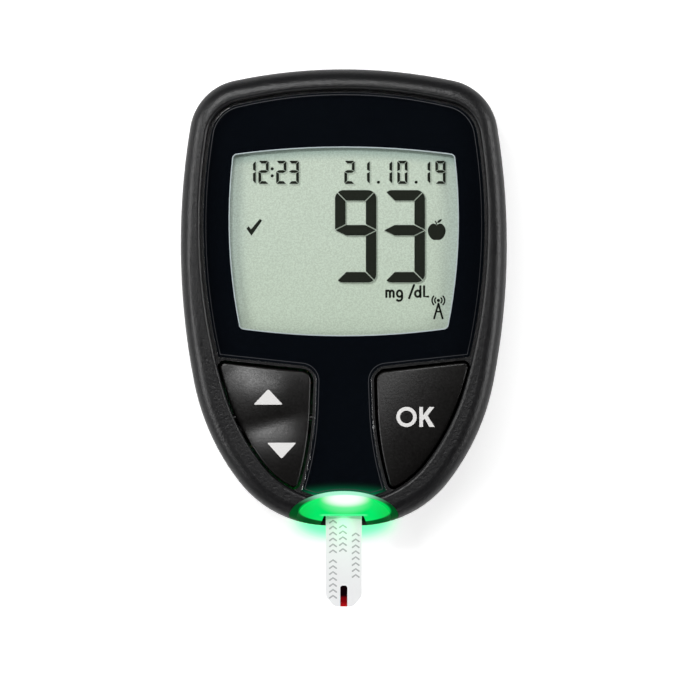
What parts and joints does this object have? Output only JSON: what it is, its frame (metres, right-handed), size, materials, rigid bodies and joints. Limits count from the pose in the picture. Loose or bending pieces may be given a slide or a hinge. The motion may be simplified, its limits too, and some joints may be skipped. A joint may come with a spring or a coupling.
{
  "type": "blood glucose meter",
  "caption": "Hand-held blood glucose meter: rounded two-shell body, display under a clear panel, key caps, sliding battery door and a lit strip port with a test strip.",
  "frame": {"origin": "middle of the flat back, where the meter lies down", "axes": "+X to the right of the display, +Y to its top edge, +Z out of the display"},
  "size_m": [0.0562, 0.0924, 0.018],
  "materials": {
    "case_black": "fine spark texture",
    "clear_panel": "clear acrylic, gloss",
    "panel_print": "black print behind clear panel",
    "key_black": "soft matt",
    "dome_steel": "stamped spring steel",
    "display_film": "polarising film",
    "display_glass": "liquid crystal glass",
    "display_silver": "grey-green reflector",
    "frame_white": "moulded, white",
    "elastomer": "layered silicone",
    "board_green": "solder mask",
    "chip_black": "moulded epoxy",
    "can_silver": "stamped can",
    "solder_parts": "chip parts",
    "contact_metal": "nickel plated",
    "cell_steel": "brushed",
    "screw_steel": "zinc plated, dark",
    "guide_green": "frosted translucent",
    "lamp_green": "lit",
    "socket_black": "moulded",
    "contact_gold": "gold plated",
    "foam_grey": "closed-cell foam",
    "strip_white": "printed film",
    "strip_film": "adhesive film",
    "strip_carbon": "printed carbon",
    "blood_red": "wet"
  },
  "bodies": {
    "root": {"rear_case": "case_black", "front_case": "case_black", "display_lens": "clear_panel", "lens_mask": "panel_print", "case_screws": "screw_steel", "lcd_polariser": "display_film", "lcd_top_glass": "display_glass", "lcd_bottom_glass": "display_glass", "lcd_reflector": "display_silver", "lcd_frame": "frame_white", "zebra_connector": "elastomer", "up_dome": "dome_steel", "down_dome": "dome_steel", "ok_dome": "dome_steel", "main_board": "board_green", "board_screws": "screw_steel", "microcontroller": "chip_black", "radio_module": "can_silver", "memory_chip": "chip_black", "clock_crystal": "can_silver", "chip_parts": "solder_parts", "buzzer": "chip_black", "negative_contact": "contact_metal", "positive_contact": "contact_metal", "coin_cell_left": "cell_steel", "coin_cell_right": "cell_steel", "port_light_guide": "guide_green", "port_lamps": "lamp_green", "strip_socket": "socket_black", "strip_contacts": "contact_gold"},
    "ok_key": {"ok_key": "key_black"},
    "up_down_key": {"up_down_key": "key_black"},
    "battery_door": {"battery_door": "case_black", "door_pad": "foam_grey"},
    "test_strip": {"strip_base": "strip_white", "strip_tracks": "strip_carbon", "strip_spacer": "strip_film", "strip_sample": "blood_red", "strip_cover": "strip_white"}
  },
  "joints": [
    {"name": "ok_press", "type": "slide", "parent": "root", "child": "ok_key", "axis": [0, 0, -1], "range_m": [0, 0.0005], "stiffness_N_per_m": 400, "springref_m": -0.001, "deforming": ["ok_dome"]},
    {"name": "up_down_rock", "type": "hinge", "parent": "root", "child": "up_down_key", "pos_m": [-0.012, -0.0207, 0.0141], "axis": [1, 0, 0], "range_deg": [-3, 3], "stiffness_Nm_per_rad": 0.06, "deforming": ["up_dome", "down_dome"]},
    {"name": "door_slide", "type": "slide", "parent": "root", "child": "battery_door", "axis": [0, 1, 0], "range_m": [0, 0.031]},
    {"name": "strip_pull", "type": "slide", "parent": "root", "child": "test_strip", "axis": [0, -1, 0], "range_m": [0, 0.0125]}
  ]
}
